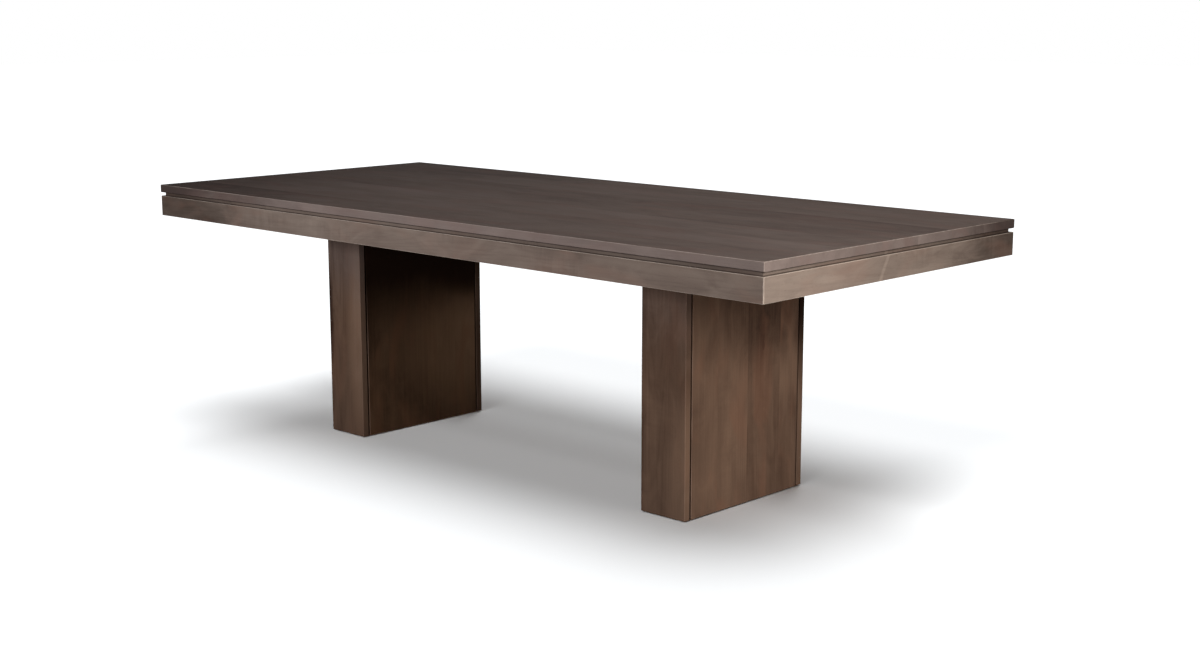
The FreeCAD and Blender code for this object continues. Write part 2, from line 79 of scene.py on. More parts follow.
# A node tree that nodes are added to: settings are set before the sockets get their values or links.
class Graph:
    def __init__(self, tree):
        self.tree = tree
        tree.nodes.clear()

    def node(self, kind, settings=None, inputs=None, output=0):
        made = self.tree.nodes.new(kind)
        for name, value in (settings or {}).items():
            if name == "stops":
                elements = made.color_ramp.elements
                while len(elements) < len(value):
                    elements.new(1.0)
                for element, (position, colour) in zip(elements, value):
                    element.position = position
                    element.color = (*colour, 1.0)
            else:
                setattr(made, name, value)
        for key, value in (inputs or {}).items():
            if isinstance(value, Wire):
                self.tree.links.new(value.socket, made.inputs[key])
            else:
                made.inputs[key].default_value = value
        return Wire(self, made.outputs[output]) if made.outputs else made

    def vector(self, operation, *values):
        return self.node("ShaderNodeVectorMath", {"operation": operation}, dict(enumerate(values)))

    # colour a where factor is 0, colour b where it is 1
    def blend(self, factor, a, b):
        return self.node("ShaderNodeMix", {"data_type": "RGBA"}, {0: factor, 6: a, 7: b}, output=2)

    # a colour ramp through so many stops, each a place from 0 to 1 and six hex digits
    def ramp(self, value, *stops):
        stops = [(place, shade(digits)) for place, digits in stops]
        return self.node("ShaderNodeValToRGB", {"stops": stops}, {"Fac": value})

    # how far into an arris the surface is, and how far into a crease, both from 0 to 1; the materials paint
    # shade into the crease
    def arrisAndCrease(self):
        mark = self.node("ShaderNodeAttribute", {"attribute_name": "arris"}, output="Fac")
        return mark.most(0.0), (mark * -1.0).most(0.0)

    # the finished surface, from what its shader's sockets get
    def surface(self, height, strength, distance, sockets):
        bump = {"Strength": strength, "Distance": distance, "Height": height}
        normal = self.node("ShaderNodeBump", {}, bump)
        shader = self.node("ShaderNodeBsdfPrincipled", {}, {**sockets, "Normal": normal})
        self.node("ShaderNodeOutputMaterial", {}, {"Surface": shader})

    # fractal noise from 0 to 1, with so many cells to the metre along each axis of the point
    def noise(self, point, cells, detail=2.0, rough=0.5, swirl=0.0):
        inputs = {"Vector": self.vector("MULTIPLY", point, cells), "Scale": 1.0, "Detail": detail}
        inputs |= {"Roughness": rough, "Distortion": swirl}
        return self.node("ShaderNodeTexNoise", {"noise_dimensions": "3D"}, inputs)


# A screen colour, written as six hex digits, as linear light
def shade(digits):
    parts = np.array([int(digits[k : k + 2], 16) / 255 for k in (0, 2, 4)])
    return tuple(np.where(parts > 0.04045, ((parts + 0.055) / 1.055) ** 2.4, parts / 12.92))


def rgba(digits):
    return (*shade(digits), 1.0)


def newMaterial(name):
    material = bpy.data.materials.new(name)
    material.use_nodes = True
    return material, Graph(material.node_tree)


# A new object in the scene, with its data
def addObject(name, data):
    made = bpy.data.objects.new(name, data)
    scene.collection.objects.link(made)
    return made


# Camera
cameraLook = {
    "azimuth": 43.465,  # degrees round from the front, towards the right end
    "elevation": 10.835,
    "place": (3.5808, -3.5736, 1.3333),
    "lens": 52.666,
    "sensor": 36.0,
}


# The camera looks back along the direction that its two angles give
def makeCamera(look):
    data = bpy.data.cameras.new("camera")
    data.lens = look["lens"]
    data.sensor_width = look["sensor"]
    data.clip_end = 100.0  # past the floor's far edge
    camera = addObject("camera", data)
    turn, lift = math.radians(look["azimuth"]), math.radians(look["elevation"])
    away = Vector((math.sin(turn) * math.cos(lift), -math.cos(turn) * math.cos(lift), math.sin(lift)))
    camera.location = look["place"]
    camera.rotation_euler = (-away).to_track_quat("-Z", "Y").to_euler()
    scene.camera = camera


makeCamera(cameraLook)


# Studio: white where it is looked at, plain soft light on the table. The floor lamps' wide discs light only
# the floor, where they draw the table's shadow, and the softboxes light everything else.
studio = {
    "ambient": (0.055, 0.055, 0.057),
    "floorReach": 30.0,
    "floorPoints": 5,  # along each side
    "floorBounce": 0.27,  # how much light the floor gives back to the table
    "floorSeen": (0.965, 0.985, 1.0),  # the floor's colour where it is looked at
}
floorLamps = {
    "overhead": {"towards": (-0.217, 0.058, -0.974), "angle": 44.0, "power": 2.31},
    "front": {"towards": (-0.171, 0.735, -0.656), "angle": 22.0, "power": 1.42},
    "back": {"towards": (0.265, -0.476, -0.839), "angle": 18.0, "power": 0.82},
}
underLamp = {"towards": (0.0, 0.0, 1.0), "angle": 10.0, "power": 0.7}  # shines up through the floor
softboxes = {
    "front": {
        "place": (-0.1, -3.0, 1.26), "aim": (-0.1, -0.5, 0.7), "size": (1.8, 0.5), "power": 66.5,
        "colour": (0.955, 0.99, 1.06),
    },
    "near end": {"place": (2.4, -0.7, 1.15), "aim": (1.1, -0.3, 0.6), "size": (0.5, 0.5), "power": 26.0},
    "low right": {"place": (1.38, 0.12, 0.07), "aim": (0.73, 0.1, 0.12), "size": (1.1, 0.1), "power": 3.2},
    "right": {"place": (2.9, -0.9, 1.3), "aim": (1.0, -0.2, 0.4), "size": (0.7, 0.7), "power": 6.5},
    "high middle": {"place": (0.15, 0.25, 2.2), "aim": (0.15, 0.25, 0.0), "size": (1.2, 0.6), "power": 5.0},
    "high right": {"place": (1.8, 0.3, 2.4), "aim": (1.0, 0.0, 0.76), "size": (1.2, 1.2), "power": 12.0},
    "back": {"place": (-2.2, 2.8, 0.6), "aim": (0.0, 0.0, 0.5), "size": (2.4, 0.8), "power": 36.0},
}


# 1 for the rays that look at a thing or mirror it, and 0 for the rays that carry soft light
def lookedAt(graph):
    rays = [
        graph.node("ShaderNodeLightPath", output=kind)
        for kind in ("Is Camera Ray", "Is Glossy Ray", "Is Transmission Ray")
    ]
    return rays[0].most(rays[1]).most(rays[2])


# White where it is looked at, and a faint even glow for everything else
def makeWorld(look):
    world = bpy.data.worlds.new("studio")
    world.use_nodes = True
    scene.world = world
    graph = Graph(world.node_tree)
    soft, white = (
        graph.node("ShaderNodeBackground", {}, {"Color": (*colour, 1.0), "Strength": 1.0})
        for colour in (look["ambient"], (1.0, 1.0, 1.0))
    )
    both = graph.node("ShaderNodeMixShader", {}, {0: lookedAt(graph), 1: soft, 2: white})
    graph.node("ShaderNodeOutputWorld", {}, {"Surface": both})


# A flat grid at height 0 that shows white from above and is clear from below
def makeFloor(look):
    reach, count = look["floorReach"], look["floorPoints"]
    ends = np.linspace(-reach, reach, count)
    across, along = np.meshgrid(ends, ends)
    points = np.stack([across, along, 0 * across], -1).reshape(-1, 3)
    mesh = bpy.data.meshes.new("floor")
    mesh.from_pydata(points.tolist(), [], gridFaces(count, count, False).tolist())
    floor = addObject("floor", mesh)
    material, graph = newMaterial("studio floor")
    bounce = look["floorBounce"]
    colour = graph.blend(lookedAt(graph), (bounce, bounce, bounce, 1.0), (*look["floorSeen"], 1.0))
    plain = graph.node("ShaderNodeBsdfDiffuse", {}, {"Color": colour})
    clear = graph.node("ShaderNodeBsdfTransparent")
    under = graph.node("ShaderNodeNewGeometry", output="Backfacing")
    both = graph.node("ShaderNodeMixShader", {}, {0: under, 1: plain, 2: clear})
    graph.node("ShaderNodeOutputMaterial", {}, {"Surface": both})
    mesh.materials.append(material)
    return floor


# A lamp that shines along a direction and lights the things in one collection
def addLamp(name, kind, towards, power, lit):
    lamp = addObject(name, bpy.data.lights.new(name, kind))
    lamp.rotation_euler = Vector(towards).to_track_quat("-Z", "Y").to_euler()
    lamp.data.energy = power
    lamp.light_linking.receiver_collection = lit
    return lamp


# A lit panel at a place, turned to its aim
def makeSoftbox(name, lit, place, aim, size, power, colour=(1.0, 1.0, 1.0)):
    lamp = addLamp(name, "AREA", Vector(aim) - Vector(place), power, lit)
    lamp.location = place
    lamp.visible_camera = False
    lamp.data.color = colour
    lamp.data.shape = "RECTANGLE"
    lamp.data.size, lamp.data.size_y = size


# A lamp with a wide disc, far away. The floor doesn't stop it where the blockers leave the floor out.
def makeFarLamp(name, lit, towards, angle, power, blockers=None):
    lamp = addLamp(name, "SUN", towards, power, lit)
    lamp.data.angle = math.radians(angle)
    lamp.light_linking.blocker_collection = blockers


# Faces of a grid of points: each joins a point to the next in its row and to the two in the row after
def gridFaces(rows, columns, closed):
    row = np.arange(rows - 1)[:, None] * columns
    here = np.arange(columns if closed else columns - 1)
    after = (here + 1) % columns
    return np.stack([row + here, row + after, row + columns + after, row + columns + here], -1).reshape(-1, 4)


makeWorld(studio)
floorOnly, allButFloor = (bpy.data.collections.new(name) for name in ("floor only", "all but the floor"))
floor = makeFloor(studio)
for lights in (floorOnly, allButFloor):
    lights.objects.link(floor)
allButFloor.collection_objects[0].light_linking.link_state = "EXCLUDE"
for name, look in floorLamps.items():
    makeFarLamp(name + " floor lamp", floorOnly, **look)
makeFarLamp("under lamp", allButFloor, blockers=allButFloor, **underLamp)
for name, look in softboxes.items():
    makeSoftbox(name + " softbox", allButFloor, **look)
print("studio ready")


# Six times the volume inside a closed surface: the sum over its triangles of one corner's dot product with
# the cross product of the other two. It is negative where the faces point inwards.
def signedVolume(points, faces):
    a, b, c, d = (points[faces[:, k]] for k in range(4))
    halves = np.einsum("ij,ij->i", a, np.cross(b, c)) + np.einsum("ij,ij->i", a, np.cross(c, d))
    return halves.sum()


# A piece's mesh as an object that rides on a body. Its marks go into the arris attribute, one number for
# each point: 1 in the middle of a rounded edge, 0 on the flats and below 0 where shade is painted.
def addPiece(name, points, faces, smooth, marks, material, body):
    mesh = bpy.data.meshes.new(name)
    mesh.from_pydata(points.tolist(), [], faces)
    mesh.polygons.foreach_set("use_smooth", smooth)
    edge = mesh.attributes.new("arris", "FLOAT", "POINT")
    edge.data.foreach_set("value", marks.astype(np.float32))
    mesh.materials.append(material)
    mesh.update()
    piece = addObject(name, mesh)
    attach(piece, body)
    return piece


# A closed piece from rows of points, each row a ring: quads between the rings, one face over each end. The
# quads on an arris are shaded smooth.
def makePiece(name, grid, arris, material, body="table"):
    rows, columns = grid.shape[:2]
    points = grid.reshape(-1, 3)
    marks = arris.reshape(-1)
    quads = gridFaces(rows, columns, True)
    first = np.arange(columns)[::-1]
    last = np.arange(columns) + (rows - 1) * columns
    rounded = (marks[quads] > 0.01).any(1)
    # the ends count in the volume as fans about their first point
    fans = [np.stack([0 * e[2:] + e[0], e[1:-1], e[2:], e[2:]], -1) for e in (first, last)]
    if signedVolume(points, np.concatenate([quads, *fans])) < 0:
        quads, first, last = quads[:, ::-1], first[::-1], last[::-1]
    faces = quads.tolist() + [first.tolist(), last.tolist()]
    return addPiece(name, points, faces, np.append(rounded, [False, False]), marks, material, body)


# Outlines. A corner is (across, up, radius, open): open says that the edge after it is a free face, whose
# arris is rounded at the board's ends too. A fifth number below 0 marks painted shade, in a crease or on
# an arris away from the light.
arcSteps = 5  # faces round each rounded edge
# the arris mark lightens rounded edges as rubbed wear and painted highlight; a smaller rounding gets neither
plainRadius = 0.5 * mm  # a smaller rounding isn't rubbed through
wobble = 0.1  # the share by which a hand-sanded rounding grows and shrinks along a board
handWaves = (7.0, 17.0, 31.0)  # the pitches of its waves, in turns over 2 pi metres
wavesHigh = 2.2  # about the most that their sum comes to
wavesFade = 80 * mm  # over which they fade out at a board's ends
ringsApart = 0.05  # about how far apart a board's rings of points are
ease = 1.5 * mm  # the radius at which boards' ends and mitred corners are rounded


# Each corner of radius r becomes an arc: corner + r * (u - before - after), where u turns from the outward
# normal of the edge before to that of the edge after. Gives the corner, that offset without its r, the
# radius, the way that the point draws in at a rounded end, and how far into the arris it is.
def outlineArrays(corners):
    spots = np.array([c[:2] for c in corners], float)
    edges = np.roll(spots, -1, 0) - spots
    edges /= np.linalg.norm(edges, axis=1)[:, None]
    normals = np.stack([edges[:, 1], -edges[:, 0]], -1)
    turns = np.linspace(0, math.pi / 2, arcSteps + 1)
    rows = []
    for number, (across, up, radius, free, *creaseShade) in enumerate(corners):
        before, after = normals[number - 1], normals[number]
        freeBefore = corners[number - 1][3]
        for turn in turns if radius else [0.0]:
            u = math.cos(turn) * before + math.sin(turn) * after
            bothFree = freeBefore and free
            draw = u if radius and bothFree else before * freeBefore + after * free
            mark = math.sin(2 * turn) * (sum(creaseShade) or 1) if radius > plainRadius else sum(creaseShade)
            offset = u - before - after if radius else 0 * u
            rows.append([across, up, *offset, radius, *draw, mark])
    table = np.array(rows)
    return table[:, 0:2], table[:, 2:4], table[:, 4], table[:, 5:7], table[:, 7]


# A slow wave along a board, within about 1 of 0, that fades out at its ends: a sum of three sines
def handWave(along, seed):
    reach = np.abs(along).max()
    waves = sum(np.sin(along * pitch + seed * (k + 1.7)) for k, pitch in enumerate(handWaves))
    return waves / wavesHigh * np.clip((reach - np.abs(along)) / wavesFade, 0, 1)


# A board from its outline, carried along its length. At a rounded end the outline draws in by
# r * (1 - cos a) while it moves on by r * sin a, with a from 0 to a right angle. An end's mark is 0 where it
# is square, 1 where its arris is rubbed and highlit, and -1 where it gets painted shade, as the arrises
# along the underside also do when asked.
def boardGrid(corners, start, stop, startMark, stopMark, seed, shadeUnder=False):
    corner, offset, radius, draw, mark = outlineArrays(corners)
    turns = np.linspace(0, math.pi / 2, arcSteps + 1)
    count = round((stop - start) / ringsApart)
    inner = np.linspace(start + ease * (startMark != 0), stop - ease * (stopMark != 0), count)
    along, inset, endMark = inner, 0 * inner, 0 * inner
    drawIn, moveOn, endArris = ease * (1 - np.cos(turns)), ease * np.sin(turns), np.sin(2 * turns)
    if startMark:
        along = np.append((start + ease - moveOn)[:0:-1], along)
        inset, endMark = np.append(drawIn[:0:-1], inset), np.append(startMark * endArris[:0:-1], endMark)
    if stopMark:
        along = np.append(along, (stop - ease + moveOn)[1:])
        inset, endMark = np.append(inset, drawIn[1:]), np.append(endMark, stopMark * endArris[1:])
    sway = 1 + wobble * handWave(along - (start + stop) / 2, seed)
    full = corner + (sway[:, None] * radius)[..., None] * offset
    flat = full - inset[:, None, None] * draw
    free = np.linalg.norm(draw, axis=1) > 0
    ends = endMark[:, None] * free
    ends = np.where(shadeUnder & (draw[:, 1] < -0.5), -np.abs(ends), ends)
    arris = np.where(ends < 0, ends, np.maximum(mark * (1 - inset[:, None] / ease), ends))
    arris = np.where(mark < 0, mark, arris)
    lengths = np.broadcast_to(along[:, None, None], (*flat.shape[:2], 1))
    return np.concatenate([lengths, flat], -1), arris


# A board whose ends are mitred: a point as deep as d behind the outer face stands d short of the corner.
# The outer corner is rounded in plan: with a from 45 to 90 degrees the face stands back by
# r * (1 - sin a) and stops r * (1 - cos a) short. Each of its rows stands a hair further in than the last,
# so that no two fall together.
def mitredGrid(corners, half, seed):
    corner, offset, radius, draw, mark = outlineArrays(corners)
    nearest = 40 * mm  # to the corner, of the rings that stand square across the board
    outward = np.where((radius > 0) & (corner[:, 0] < 1 * mm), 1 - offset[:, 0], 0)
    inner = np.linspace(nearest - half, half - nearest, round((2 * half - 2 * nearest) / ringsApart))
    sway = 1 + wobble * handWave(inner, seed)
    middle = corner + (sway[:, None] * radius)[..., None] * offset
    middle = np.concatenate([np.broadcast_to(inner[:, None, None], (*middle.shape[:2], 1)), middle], -1)
    turns = np.linspace(math.pi / 4, math.pi / 2, arcSteps + 1)[:, None]
    full = corner + radius[:, None] * offset
    depth = full[:, 0] + ease * outward * (1 - np.sin(turns))
    hair = 0.3 * mm * np.arange(arcSteps + 1)[:, None]
    short = full[:, 0] + ease * outward * (1 - np.cos(turns)) + hair
    height = np.broadcast_to(full[:, 1], depth.shape)
    stop = np.stack([half - short, depth, height], -1)
    begin = np.stack([short - half, depth, height], -1)
    endArris = np.where(mark < 0, mark, np.maximum(mark, np.sin(2 * turns) * outward))
    grid = np.concatenate([begin, middle, stop[::-1]])
    arris = np.concatenate([endArris, np.broadcast_to(mark, middle.shape[:2]), endArris[::-1]])
    return grid, arris


# Puts a grid on three axes: the place plus along, across and up times their axes
def onAxes(grid, along, across, up, place=(0, 0, 0)):
    return grid @ np.array([along, across, up], float) + np.array(place, float)


# Wood. Its pattern is worked out in the board's own block of space: x along the grain, and rings round a
# pith line that lies off to one side, so every cut shows what it would in a real board.
# each stain's worn colour is rubbed wear and painted highlight on the arrises, and its crease colour is
# painted shade
stains = {
    "top": {
        "dark": "433834", "deep": "514540", "middle": "5d514b", "light": "675a54", "pale": "766861",
        "warm": "6a5049", "worn": "a39488", "creaseShade": "231b18",
    },
    "apron": {
        "dark": "453932", "deep": "564a42", "middle": "66584f", "light": "72645a", "pale": "857569",
        "warm": "755b4f", "worn": "b5a597", "creaseShade": "2a201a",
    },
    "pedestal": {
        "dark": "2c1f19", "deep": "49372c", "middle": "584437", "light": "644e3f", "pale": "765e4e",
        "warm": "684939", "worn": "93796a", "creaseShade": "1d120c",
    },
}
# Noise in the wood: cells to the metre along and across the grain, then detail, roughness and swirl
woodNoise = {
    "wander": ((1.1, 6, 6), 2.0),  # of the pith line
    "cloud": ((1.5, 6.5, 6.5), 2.0),
    "blotch": ((7, 19, 19), 3.0, 0.55, 0.8),
    "streak": ((1.4, 120, 120), 3.0, 0.6),
    "fibre": ((14, 1300, 1300), 2.0, 0.7),
    "fleck": ((150, 2300, 900), 0.0),
    "curl": ((75, 9, 9), 1.0, 0.4, 0.8),
    "patch": ((3.2, 9, 9), 1.0),  # where the curl shows
    "warm": ((5, 13, 13), 2.0, 0.5, 0.6),
    "rubbed": ((12, 60, 60), 2.0),
}
# Where four of them begin to show and where they show in full
noiseSteps = {"fleck": (0.68, 0.8), "patch": (0.52, 0.7), "warm": (0.46, 0.72), "rubbed": (0.3, 0.7)}
seedShift = (1.37, 0.61, 0.29)  # how far one more of seed moves the pattern
grainTurn = {"x": (0, 0, 0), "y": (0, 0, -math.pi / 2), "z": (0, math.pi / 2, 0)}
plainLook = {
    "tone": 0.0,  # lighter above 0, darker below
    "seed": 0.0,
    "pith": (0.05, -0.09),  # where the pith line passes, beside and below the board's middle
    "ringPitch": 3.4 * mm,
    "slope": 0.02,  # how far the pith line strays from the board's length
    "wander": 0.03,  # how far noise moves the pith line to a side
    "ringWarp": 5.0,  # how far the blotches bend the rings
    "blotch": 0.45,
    "cloud": 0.5,
    "streak": 0.2,
    "fibre": 0.16,
    "late": 0.05,  # the dark late wood of each ring
    "fleck": 0.12,
    "warmth": 0.35,  # how strongly the redder patches show
    "edgeTone": 0.0,  # painted light: how much lighter the upright faces are drawn
    "figure": 0.05,  # bands across the grain, in patches
    "wear": 1.0,  # how far the arrises are drawn rubbed through and highlit, as wear and painted highlight
    "sheen": (0.01, 0.8),  # specular level and roughness
    "across": 1,  # the board axis that runs across the face that shows
    "staves": (),  # (where, shift of pattern, change of tone) for each glued joint across that axis
    "patches": (),  # (along, across, half length, half width, change of tone) of single soft patches: painted light and shade, and one small knot
    "shade": None,  # painted shadow: where along the board it starts and is full, its share
    "cast": None,  # another cast of colour: where it starts and is full, its share, its red, green and blue
    "flame": None,  # one bright curl: where along the board, how much it leans, how wide, change of tone
}


# The place in a board's own space: its centre is 0, and x runs along its grain
def boardSpace(graph, grain, centre):
    turn = grainTurn[grain]
    shift = Euler(turn).to_matrix() @ -Vector(centre)
    place = graph.node("ShaderNodeTexCoord", output="Object")
    return graph.node("ShaderNodeMapping", {}, {"Vector": place, "Location": shift, "Rotation": turn})


# The tone is a sum of noises, less the late wood, which is the fifth power of a raised cosine of the distance
# from the pith line. Patches, mostly of painted light and shade, the flame and the painted light on the
# upright faces add to it, and a ramp turns it into stain.
def stainedMaple(name, grain, centre, stain, **look):
    look = {**plainLook, **look}
    tints = stains[stain]
    material, graph = newMaterial(name)
    board = boardSpace(graph, grain, centre)
    axes = [graph.node("ShaderNodeSeparateXYZ", {}, {"Vector": board}, output=k) for k in range(3)]
    acrossFace = axes[look["across"]]
    seed = look["seed"]
    tone, jump = look["tone"], seed * seedShift[0]
    for where, moved, change in look["staves"]:
        past = acrossFace > where
        jump = past * moved + jump
        tone = past * change + tone
    moved = graph.node("ShaderNodeCombineXYZ", {}, {0: jump, 1: seed * seedShift[1], 2: seed * seedShift[2]})
    grown = graph.vector("ADD", board, moved)
    apart = graph.vector("ADD", grown, (4.1, 2.3, 7.7))  # so that the redder patches fall elsewhere
    noise = {
        kind: graph.noise(apart if kind == "warm" else grown, *pattern) for kind, pattern in woodNoise.items()
    }
    for kind, ends in noiseSteps.items():
        noise[kind] = noise[kind].step(*ends)
    blotch, streak, fibre, fleck = (noise[kind] for kind in ("blotch", "streak", "fibre", "fleck"))

    pithY, pithZ = look["pith"]
    beside = axes[1] - pithY + axes[0] * look["slope"] + (noise["wander"] - 0.5) * look["wander"]
    below = axes[2] - pithZ
    radius = (beside * beside + below * below) ** 0.5
    turnOfRing = radius * (2 * math.pi / look["ringPitch"]) + blotch * look["ringWarp"]
    late = (turnOfRing.math("COSINE") * 0.5 + 0.5) ** 5.0
    curl = (noise["curl"] - 0.5) * noise["patch"]

    value = 0.5 + tone + curl * look["figure"] * 2.0 - late * look["late"] - fleck * look["fleck"]
    for kind in ("blotch", "cloud", "streak", "fibre"):
        value = value + (noise[kind] - 0.5) * look[kind]
    # a patch is full strength in its middle and gone at a distance of 1, counted in its half sizes; most
    # patches are painted light and shade, one is a knot
    for along, beside, long, wide, change in look["patches"]:
        off = ((axes[0] - along) / long) ** 2.0 + ((acrossFace - beside) / wide) ** 2.0
        value = value + (1 - (off + (blotch - 0.5) * 0.5).step(0.0, 1.0)) * change
    # painted light: the upright faces are drawn lighter than the top face
    if look["edgeTone"]:
        facing = graph.node("ShaderNodeNewGeometry", output="True Normal")
        upright = graph.node("ShaderNodeSeparateXYZ", {}, {"Vector": facing}, output=2)
        value = value + (1 - upright.math("ABSOLUTE")) * look["edgeTone"]
    if look["flame"]:
        alongFlame, lean, width, change = look["flame"]
        middle = axes[0] - alongFlame - axes[2] * lean + (noise["wander"] - 0.5) * 0.05
        value = value + (1 - ((middle / width) ** 2.0).step(0.0, 1.0)) * change
    ramp = zip((0.0, 0.3, 0.5, 0.7, 1.0), ("dark", "deep", "middle", "light", "pale"))
    colour = graph.ramp(value, *((place, tints[tint]) for place, tint in ramp))
    colour = graph.blend(noise["warm"] * look["warmth"], colour, rgba(tints["warm"]))
    if look["cast"]:
        start, full, share, change = look["cast"]
        there = (axes[0] + (blotch - 0.5) * 0.1).step(start, full)
        colour = graph.blend(there * share, colour, graph.vector("MULTIPLY", colour, change))
    arris, creaseShade = graph.arrisAndCrease()
    # the arrises are drawn lighter, as rubbed wear and painted highlight
    rubbed = noise["rubbed"] * 0.4 + 0.3
    colour = graph.blend((arris ** 0.6) * rubbed * look["wear"], colour, rgba(tints["worn"]))
    # painted shade: the creases and the arrises marked below 0 take the crease colour
    colour = graph.blend(creaseShade * 0.75, colour, rgba(tints["creaseShade"]))
    # painted shadow: towards one end of the board the colour goes to the crease colour
    if look["shade"]:
        start, full, share = look["shade"]
        dark = (axes[0] + (blotch - 0.5) * 0.08).step(start, full)
        colour = graph.blend(dark * share, colour, rgba(tints["creaseShade"]))
    specular, rough = look["sheen"]
    height = fibre * 0.5 + late * 0.25 - fleck * 0.6 + streak * 0.4
    graph.surface(height, 0.35, 0.12 * mm, {
        "Base Color": colour,
        "Roughness": rough + (fibre - 0.5) * 0.16 + (blotch - 0.5) * 0.12 - arris * 0.05 + creaseShade * 0.05,
        "Specular IOR Level": specular,
    })
    return material


# The middle of a CAD node's box
def middleOf(node):
    low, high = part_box(node)
    return (low + high) / 2


# The top: boards glued edge to edge, free at the ends and along the two outer sides
topLook = {
    "tones": (0.0, 0.05, 0.02, -0.03, -0.03, 0.05, 0.1),
    "edgeTones": (0.36, 0.12, 0.14, 0.22, 0.35, 0.12, 0.1),  # painted light: how much lighter each board's upright faces are drawn
    # painted shade towards the left end and on the far right end face, painted light in the middle
    "patches": {
        1: (
            (-1.25, 0.0, 0.8, 1.0, -0.4), (-1.25, 0.0, 0.32, 1.0, -0.55), (1.2, 0.08, 0.008, 0.1, -0.14),
        ),
        2: ((-1.25, -0.1, 0.5, 0.3, -0.3),),
        3: ((-1.25, 0.0, 0.35, 1.0, -0.2), (-0.6, 0.0, 0.3, 0.3, 0.14)),
        5: ((-0.85, 0.0, 0.25, 0.3, 0.08),),
        6: ((-1.0, 0.2, 0.7, 0.3, -0.2), (1.2, 0.1, 0.008, 0.13, -0.3)),
        7: ((-0.95, 0.0, 0.8, 1.0, -0.3), (1.2, 0.06, 0.008, 0.18, -0.65)),
    },
    "round": 1.5 * mm,
    "roundBelow": 2.4 * mm,
    "farArrisShade": -1,  # painted shade on the arrises away from the light, along the far side and round the left end
    "joint": 0.12 * mm,  # the hairline beside a glue joint
    "streak": 0.14,
    "warmth": 0.22,
}


# Each board has a rounded edge where it is free and a hairline where it is glued to the next
def makeTop(look):
    count = len(look["tones"])
    for number, tone in enumerate(look["tones"], 1):
        node = f"top_board_{number}"
        low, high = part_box(node)
        first, last = number == 1, number == count
        free, glued = (look["round"], look["roundBelow"]), (look["joint"], look["joint"])
        near, nearBelow = free if first else glued
        far, farBelow = free if last else glued
        # painted shade on the lower arrises of the free sides and on the far top arris
        corners = [
            (low.y, low.z, nearBelow, True, -1 if first else 0),
            (high.y, low.z, farBelow, last, -1 if last else 0),
            (high.y, high.z, far, True, look["farArrisShade"] if last else 0),
            (low.y, high.z, near, first),
        ]
        grid, arris = boardGrid(corners, low.x, high.x, look["farArrisShade"], 1, number, shadeUnder=True)
        side = 1 if number % 2 else -1
        material = stainedMaple(
            f"maple top {number}", "x", middleOf(node), "top", tone=tone, seed=3.0 + number * 1.9,
            pith=(0.02 * ((number * 5) % 7 - 3), -0.07 * side), slope=0.012 * side,
            edgeTone=look["edgeTones"][number - 1], patches=look["patches"].get(number, ()),
            streak=look["streak"], warmth=look["warmth"],
        )
        piece = makePiece(f"topBoard{number}", grid, arris, material)
        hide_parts(node)


makeTop(topLook)
print("top made")

# The apron: four boards, mitred at the corners, with a rabbet outside along the top and a kerf inside
apronLook = {
    "thick": 20 * mm,
    "rabbetDeep": 10 * mm,
    "rabbetHigh": 10.5 * mm,
    "kerfDeep": 8 * mm,
    "kerfTop": 14 * mm,  # down from the top's underside
    "kerfHigh": 3 * mm,
    "round": 1.5 * mm,
    "rabbetShade": -0.3,  # how dark the painted shade on the rabbet's back is
    "rabbetShadeReach": 2 * mm,  # how far the painted shade of its corners reaches
    "figure": 0.16,
    "blotch": 0.62,
}
apronBoards = {
    "front": {
        "turn": 0, "grain": "x", "tone": 0.02, "seed": 21.0, "pith": (-0.08, 0.01),
        # painted shade at the front's left end and towards the right end's back, painted light in the front's
        # middle
        "patches": ((-1.25, 0.0, 0.5, 1.0, -0.4), (-0.35, 0.0, 0.5, 1.0, 0.12)),
    },
    "right": {
        "turn": 90, "grain": "y", "tone": 0.25, "seed": 24.5, "pith": (0.09, 0.01),
        "flame": (-0.06, 0.5, 9 * mm, 0.22), "patches": ((0.6, 0.0, 0.38, 1.0, -0.52),),
    },
    "back": {"turn": 180, "grain": "x", "tone": 0.0, "seed": 28.0, "pith": (0.1, -0.01)},
    "left": {"turn": 270, "grain": "y", "tone": 0.02, "seed": 31.5, "pith": (-0.09, 0.02)},
}


# Across is how deep a point lies behind the outer face, and up is its height. The outline goes round the
# bottom, the kerf and the top, and back down the rabbet.
def apronCorners(low, high, look):
    thick, r, near, stain = look["thick"], look["round"], look["rabbetShadeReach"], look["rabbetShade"]
    kerf, kerfEnd = high - look["kerfTop"], thick - look["kerfDeep"]
    kerfLow = kerf - look["kerfHigh"]
    deep, ledge = look["rabbetDeep"], high - look["rabbetHigh"]
    return [
        (0, low, r, False),
        (thick, low, r, False),
        (thick, kerfLow, 0, False),
        (kerfEnd, kerfLow, 0, False),
        (kerfEnd, kerf, 0, False),
        (thick, kerf, 0, False),
        (thick, high, 0, False),
        # painted shade in the rabbet's two corners and down its back, under the top's overhang
        (deep, high, 0, False, -1),
        (deep, high - 2.2 * near, 0, False, stain),
        (deep, ledge + near, 0, False, stain),
        (deep, ledge, 0, False, -1),
        (deep - 3 * near, ledge, 0, False),
        (0, ledge, r, False),
    ]


